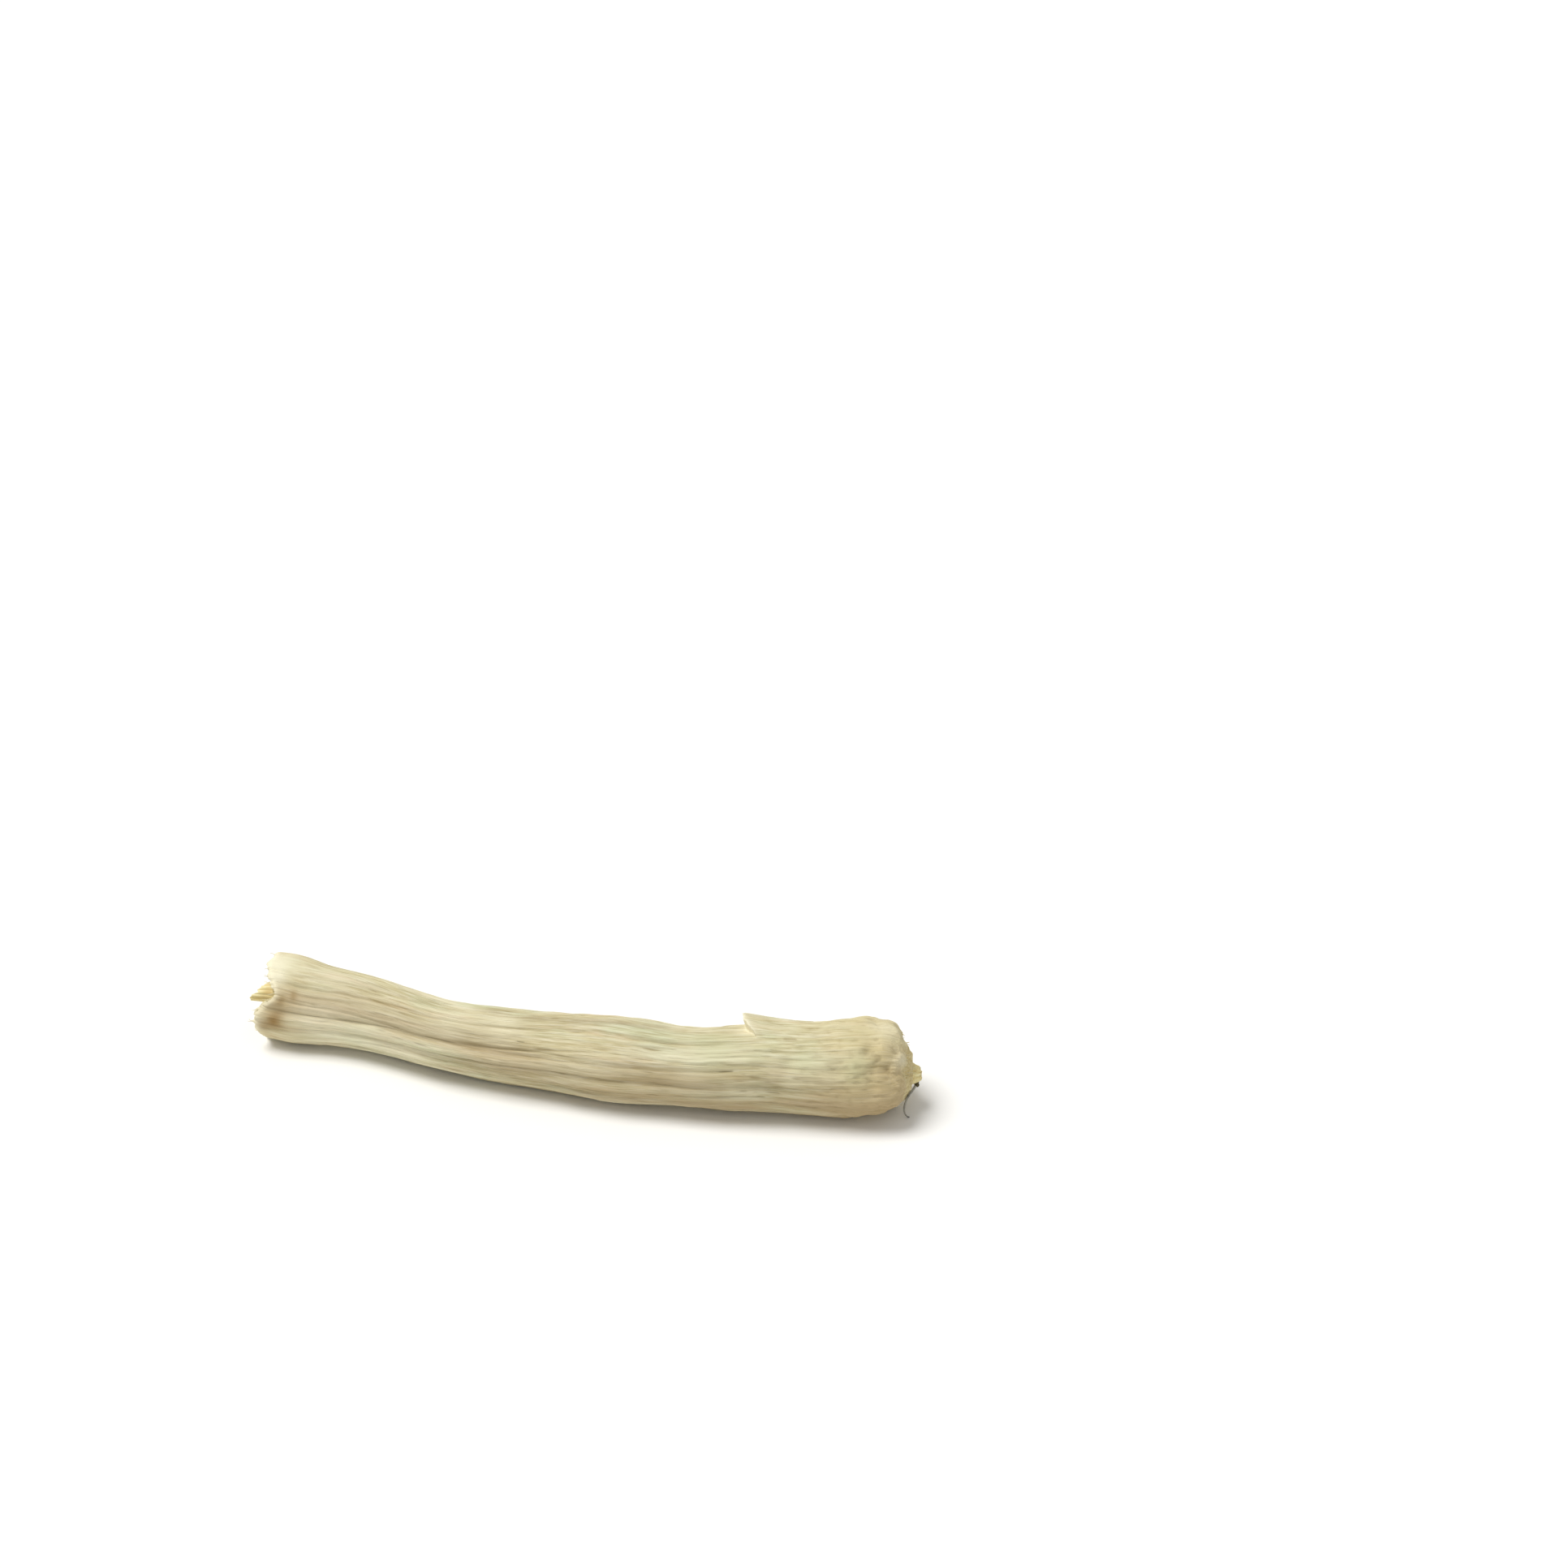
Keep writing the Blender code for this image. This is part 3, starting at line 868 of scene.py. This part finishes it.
def paint_masks(piece, straight):
    """Stores the straight coordinates and the masks of the body's points."""
    x, _, share, angle = straight_coordinates(straight)
    place = straight[:, 0]
    wall = smooth_step((share - np.where(x < 0.0, *WALL_FROM)) / 0.1)
    furrowed = 0.6 * open_furrows(x, angle) / FURROW_DEPTH[1]
    depth = furrowed + 0.5 * wrinkle_relief(place, angle) / WRINKLE_DEPTH[1]
    scars = [knob for knob in KNOBS if knob[3] < 0.0]
    dents = 1.1 * spots(place, angle, DIMPLES) - 0.3 * spots(x, angle, scars)
    small = 0.35 * slit_cover(place, angle) + 0.28 * pit_cover(place, angle)
    # dust and painted shade: darker with the depth of furrows and wrinkles, in slits, pits and dents, and
    # along the drawn lines
    dust_and_shade = 0.5 * depth + small + drawn_marks(x, angle) + dents
    # painted shade: a browner band along the front, centred on an angle that drops towards the thick end
    places, centres, spreads, strengths = np.array(FLANK_SHADE_LINE).T
    flank_shade_angle = np.radians(np.interp(x / MM, places, centres))
    flank_shade_spread = np.radians(np.interp(x / MM, places, spreads))
    painted_flank_shade = np.interp(x / MM, places, strengths) * np.exp(-((turned(angle - flank_shade_angle) / flank_shade_spread) ** 2))
    streaky = 0.8 + 0.7 * noise_at(x, angle, 14.0 * MM, 1.8 * MM, 19.0)
    edge = layer_window(angle) * np.exp(-(((x - LAYER_EDGE) / TORN_WIDTH) ** 2))
    rim = np.exp(-(((x - LEFT_END) / RIM_WIDTH) ** 2))
    feather = 0.5 * noise_at(x, angle, 1.0 * MM, 0.6 * MM, 27.0)
    keep_values(piece, "grain", straight)
    keep_values(piece, "furrow", wall * np.clip(dust_and_shade, 0.0, 0.75))
    keep_values(piece, "flake", wall * flake_cover(place, angle))
    keep_values(piece, "painted_flank_shade", wall * np.clip(painted_flank_shade * streaky, 0.0, 1.0))
    mellow = smooth_step(1.0 - (RIGHT_END - x) / MELLOW_REACH)
    mellow += 0.6 * smooth_step(1.0 - (x - LEFT_END) / MELLOW_REACH)
    keep_values(piece, "mellow", mellow)
    keep_values(piece, "green", np.clip(spots(place, angle, GREEN_SPOTS), 0.0, 1.0))
    keep_values(piece, "pale", np.clip(0.7 * edge + 0.45 * rim + spots(place, angle, PALE_SPOTS), 0.0, 0.9))
    keep_values(piece, "brown_spot", np.clip(spots(place, angle, BROWN_SPOTS), 0.0, 1.0))
    keep_values(piece, "broken", smooth_step((np.where(x < 0.0, *BREAK_UP_TO) - share) / 0.12 + feather))
    # darker towards the middle of the broken faces: tan colour, and painted shade in the hollow left end
    keep_values(piece, "hollow", smooth_step((0.75 - share) / 0.4) * np.where(x < 0.0, 1.0, 0.2))


def finish_piece(piece):
    """Makes a piece move with the root, and prints how many triangles it has."""
    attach(piece, "root")
    print(piece.name, "has", sum(len(polygon.vertices) - 2 for polygon in piece.data.polygons), "triangles")


paint_masks(body, straight)
body.data.shade_smooth()
finish_piece(body)
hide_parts(NODE)

# %% [markdown]
# ## The woody core
#
# Inside the cortex runs a yellow, woody core, about a third as thick as the root. It is tougher than the
# cortex and snaps at a slant. At the left it stands out of the hollow end, longest on its underside. At the
# right only its point shows past the lumpy end. Both are turned like the body, as straight pegs rooted inside
# it, with ridges where the bundles of vessels run. Stretching each line of the peg by its own amount cuts the
# peg at a slant and breaks it into teeth, and never folds it.

# %% The woody core
CORE_SIDES = 96
CORE_BUNDLES = 13
CORE_RIDGE = 0.16 * MM
CORE_GRAIN = 0.45 * MM
CORE_ROOT = -2.6 * MM
LEFT_CORE = {"shares": (0.3, 0.26), "reach": 1.9, "slant": 1.5, "longest": -62.0, "teeth": 0.45, "droop": 0.3}
RIGHT_CORE = {"shares": (0.8, 0.15), "reach": 6.5, "slant": 0.1, "longest": -20.0, "teeth": 0.3, "droop": 0.5}


def core_material():
    """Snapped woody core: hard yellow fibre, with a slight polish that the cortex doesn't have."""
    material, tree, shader = new_material("snapped_woody_core")
    bundles = streaks(tree, 5.0 * MM, 0.3 * MM)
    mottle = streaks(tree, 3.0 * MM, 1.2 * MM, 2.0, 4.0)
    wood = ramp(tree, bundles, [(0.3, "D2BA7C"), (0.5, "E4D69C"), (0.7, "F3EABF")])
    aged = mixed(tree, ramp(tree, mottle, [(0.5, 0.0), (0.7, 0.5)]), wood, colour("CBAE74"))
    tree.links.new(aged, shader.inputs["Base Color"])
    shader.inputs["Roughness"].default_value = 0.62
    shader.inputs["Specular IOR Level"].default_value = 0.35
    bump = add(tree, "ShaderNodeBump", None, {"Height": bundles, "Strength": 0.6, "Distance": 0.08 * MM})
    tree.links.new(bump.outputs["Normal"], shader.inputs["Normal"])
    return material


def core_peg(name, end, direction, sizes, material):
    """A snapped peg of core, from inside the body to its tip."""
    root_share, tip_share = sizes["shares"]
    length = sizes["reach"] * MM - CORE_ROOT
    side = [(root_share + (tip_share - root_share) * t, t) for t in np.linspace(0.0, 1.0, 34)]
    tip = [(tip_share * s, 1.0) for s in np.linspace(0.9, 0.0, 12)]
    profile = [(0.0, 0.0)] + side + tip
    outline = [(end + direction * (CORE_ROOT + length * t), share * BLANK_RADIUS) for share, t in profile]
    bm = turn(outline, CORE_SIDES)
    straight = point_array(bm)
    _, _, share, angle = straight_coordinates(straight)
    grown = (direction * (straight[:, 0] - end) - CORE_ROOT) / length

    across_peg = (straight[:, 1:] / CORE_GRAIN).tolist()
    coarse = np.array([noise.noise((y, z, end / MM)) for y, z in across_peg])
    fine = np.array([noise.noise((3.0 * y, 3.0 * z, 0.0)) for y, z in across_peg])
    uneven = coarse + 0.5 * fine
    slant = sizes["slant"] * share / tip_share * np.cos(angle - math.radians(sizes["longest"]))
    ridges = np.abs(np.cos(CORE_BUNDLES * angle / 2.0 + 0.6 * np.sin(3.0 * angle))) - 0.5
    radius = np.maximum(share, 0.05) * BLANK_RADIUS
    swell = 1.0 + CORE_RIDGE * ridges * np.minimum(share / tip_share, 1.0) / radius

    moved = straight.copy()
    moved[:, 0] += direction * grown * (slant + sizes["teeth"] * uneven) * MM
    moved[:, 1:] *= swell[:, None]
    moved[:, 2] -= sizes["droop"] * MM * grown**2
    place_points(bm, on_root(moved) - CENTRE)
    bmesh.ops.recalc_face_normals(bm, faces=bm.faces)
    piece = new_object(name, bm, material)
    keep_values(piece, "grain", straight)
    piece.data.shade_smooth()
    finish_piece(piece)


woody_core = core_material()
core_peg("core_splinter", LEFT_END, -1.0, LEFT_CORE, woody_core)
core_peg("core_point", RIGHT_END, 1.0, RIGHT_CORE, woody_core)

# %% [markdown]
# ## Torn fibres
#
# Where cortex tears, single fibres stay behind: a fringe at both ends and along the torn layer, and loose
# threads lying on the wall. Each is a thin tube that tapers to its tip. It starts as a capped pentagon, and
# its cap is extruded along a path on the straight blank, so that the fibre follows the relief beneath it. A
# few dozen faces each are enough at this size, and they are left flat: smooth shading turns a tube this
# thin black on its far side. All share one mesh and a pale, dry material.

# %% Torn fibres
FIBRE_SEED = 5
LEFT_FRINGE = 30
LAYER_FRINGE = 5
RIGHT_FRINGE = 26
LOOSE_THREADS = 16
# radii at the start, in millimetres
LEFT_FRINGE_RADIUS = (0.06, 0.14)
LAYER_FRINGE_RADIUS = (0.04, 0.08)
RIGHT_FRINGE_RADIUS = (0.06, 0.12)
THREAD_RADIUS = (0.02, 0.045)
# degrees from the front, upwards and over the back
CLEAR_OF_THE_GROUND = (-42.0, 222.0)


def strand(bm, path, radii, sides=5):
    """Adds a tapering tube along a path of points, closed at both ends."""
    path = [Vector(point) for point in path]
    directions = [(after - before).normalized() for before, after in zip(path, path[1:])]
    directions.append(directions[-1])
    facing = Vector((0.0, 0.0, 1.0)).rotation_difference(directions[0]).to_matrix().to_4x4()
    place = Matrix.Translation(path[0]) @ facing
    made = bmesh.ops.create_circle(bm, cap_ends=True, segments=sides, radius=radii[0], matrix=place)
    cap = made["verts"][0].link_faces[0]
    for k in range(1, len(path)):
        grown = bmesh.ops.extrude_face_region(bm, geom=[cap])
        cap = next(item for item in grown["geom"] if isinstance(item, bmesh.types.BMFace))
        bend = directions[k - 1].rotation_difference(directions[k])
        for vert in cap.verts:
            vert.co = path[k] + bend @ (vert.co - path[k - 1]) * (radii[k] / radii[k - 1])


def blank_point(x, share, angle):
    """A place on the blank from its straight coordinates."""
    radius = share * BLANK_RADIUS
    return (x, -radius * math.cos(angle), radius * math.sin(angle))


def fringe(bm, draw, angle, start, reach, share, curl, radius, steps=7):
    """Adds a fibre that leaves a torn edge lengthwise and curls away from it or towards it."""
    drift = draw.uniform(-0.12, 0.12)
    path = []
    for k in range(steps):
        t = k / (steps - 1.0)
        path.append(blank_point(start + reach * t, share + curl * t * t, angle + drift * t * t))
    strand(bm, path, [radius * (1.0 - 0.8 * k / (steps - 1.0)) for k in range(steps)])


def visible_angle(draw):
    """An angle off the underside, where the root rests."""
    return math.radians(draw.uniform(*CLEAR_OF_THE_GROUND))


def torn_fibres():
    """All torn fibres, straight, in one bmesh."""
    bm = bmesh.new()
    draw = random.Random(FIBRE_SEED)
    for _ in range(LEFT_FRINGE):
        angle = visible_angle(draw)
        share = draw.uniform(0.88, 0.96)
        reach = -(1.3 + draw.uniform(0.3, 1.1)) * MM
        curl = draw.uniform(-0.1, 0.03)
        radius = draw.uniform(*LEFT_FRINGE_RADIUS) * MM
        fringe(bm, draw, angle, LEFT_END + 1.2 * MM, reach, share, curl, radius)
    for _ in range(LAYER_FRINGE):
        angle = LAYER_ANGLE + draw.uniform(0.4, 0.85) * LAYER_SPREAD
        height = float(layer_window(np.array([angle]))[0]) * LAYER_HEIGHT * draw.uniform(0.3, 0.9)
        share = 1.0 + height / BLANK_RADIUS
        reach = -draw.uniform(0.4, 1.0) * MM
        curl = draw.uniform(-0.05, 0.02)
        radius = draw.uniform(*LAYER_FRINGE_RADIUS) * MM
        fringe(bm, draw, angle, LAYER_EDGE - 0.15 * MM, reach, share, curl, radius)
    for _ in range(RIGHT_FRINGE):
        angle = visible_angle(draw)
        share = draw.uniform(0.45, 0.95)
        out = float(np.interp(-share, [-s for s, _ in RIGHT_FACE], [o for _, o in RIGHT_FACE])) * MM
        start = RIGHT_END + out - 0.6 * MM
        reach = (0.6 + draw.uniform(0.2, 0.8)) * MM
        curl = draw.uniform(-0.08, 0.03)
        radius = draw.uniform(*RIGHT_FRINGE_RADIUS) * MM
        fringe(bm, draw, angle, start, reach, share, curl, radius)
    for _ in range(LOOSE_THREADS):
        angle = visible_angle(draw)
        start = draw.uniform(-47.0, 14.0) * MM
        length = draw.uniform(3.0, 11.0) * MM
        radius = draw.uniform(*THREAD_RADIUS) * MM
        drift = draw.uniform(-0.012, 0.012) * length / MM
        times = np.linspace(0.0, 1.0, 10)
        path = [blank_point(start + length * t, 1.0, angle + drift * t) for t in times]
        strand(bm, path, [radius * (0.2 + 0.8 * math.sin(math.pi * (0.05 + 0.9 * t))) for t in times])
    return bm


def fibre_material():
    """Dry bast fibre: thin, pale and matt, a little whiter than the cortex it came from."""
    material, tree, shader = new_material("dry_bast_fibre")
    hue = ramp(tree, streaks(tree, 8.0 * MM, 0.8 * MM), [(0.35, "C6BA90"), (0.65, "DCD2AF")])
    tree.links.new(hue, shader.inputs["Base Color"])
    shader.inputs["Roughness"].default_value = 0.85
    shader.inputs["Specular IOR Level"].default_value = 0.3
    return material


bm = torn_fibres()
straight = point_array(bm)
place_points(bm, on_root(straight) - CENTRE)
bmesh.ops.recalc_face_normals(bm, faces=bm.faces)
fibres = new_object("torn_fibres", bm, fibre_material())
keep_values(fibres, "grain", straight)
finish_piece(fibres)

# %% [markdown]
# ## A grey rootlet and a crumb of soil
#
# One fine grey rootlet still hangs from the point of the core down to the ground, and a dark crumb of soil
# clings to it just below the point. The rootlet is another strand, this time along a smooth curve through
# points measured in millimetres. The crumb is a small ball, pushed in and out by noise.

# %% Rootlet and crumb
ROOTLET = [
    (51.9, 2.3, 5.2),
    (52.3, 1.7, 4.4),
    (51.9, 0.8, 3.7),
    (51.3, -0.2, 3.0),
    (50.9, -0.9, 1.7),
    (51.0, -1.3, 0.8),
    (51.4, -1.45, 0.25),
    (51.8, -1.45, 0.18),
]
ROOTLET_RADIUS = 0.22 * MM
CRUMB_PLACE = Vector((52.3, 1.65, 4.35)) * MM
CRUMB_RADIUS = 0.46 * MM


def smooth_path(points, steps):
    """A smooth curve through a few points, with a number of steps between each two."""
    table = np.array(points) * MM
    padded = np.vstack([2.0 * table[0] - table[1], table, 2.0 * table[-1] - table[-2]])
    path = []
    for a, b, c, d in zip(padded, padded[1:], padded[2:], padded[3:]):
        for t in np.linspace(0.0, 1.0, steps, endpoint=False):
            squared = (2.0 * a - 5.0 * b + 4.0 * c - d) * t**2
            cubed = (3.0 * b - a - 3.0 * c + d) * t**3
            path.append(0.5 * (2.0 * b + (c - a) * t + squared + cubed))
    return path + [table[-1]]


def rootlet_material():
    """Unpeeled rootlet skin: thin, grey and matt, duller than anything that was peeled."""
    material, tree, shader = new_material("grey_rootlet_skin")
    hue = ramp(tree, streaks(tree, 1.5 * MM, 0.5 * MM), [(0.35, "8F8D84"), (0.65, "B9B7AE")])
    tree.links.new(hue, shader.inputs["Base Color"])
    shader.inputs["Roughness"].default_value = 0.9
    shader.inputs["Specular IOR Level"].default_value = 0.2
    return material


def soil_material():
    """Dried soil: dark, grainy and without any gloss."""
    material, tree, shader = new_material("dried_soil")
    hue = ramp(tree, streaks(tree, 0.3 * MM, 0.3 * MM), [(0.35, "3F3929"), (0.65, "6E6548")])
    tree.links.new(hue, shader.inputs["Base Color"])
    shader.inputs["Roughness"].default_value = 0.95
    shader.inputs["Specular IOR Level"].default_value = 0.1
    return material


def small_piece(name, bm, material):
    """Finishes a small piece that was modelled in place."""
    bmesh.ops.recalc_face_normals(bm, faces=bm.faces)
    places = point_array(bm)
    piece = new_object(name, bm, material)
    keep_values(piece, "grain", places)
    piece.data.shade_smooth()
    finish_piece(piece)


bm = bmesh.new()
path = smooth_path(ROOTLET, 6)
radii = [ROOTLET_RADIUS * (1.1 - 0.75 * k / len(path) + 0.05 * math.sin(2.3 * k)) for k in range(len(path))]
strand(bm, path, radii, sides=10)
small_piece("rootlet", bm, rootlet_material())

bm = bmesh.new()
bmesh.ops.create_icosphere(bm, subdivisions=3, radius=CRUMB_RADIUS, matrix=Matrix.Translation(CRUMB_PLACE))
for vert in bm.verts:
    out = vert.co - CRUMB_PLACE
    vert.co += out * 0.6 * noise.noise(out / CRUMB_RADIUS * 1.3)
small_piece("soil_crumb", bm, soil_material())
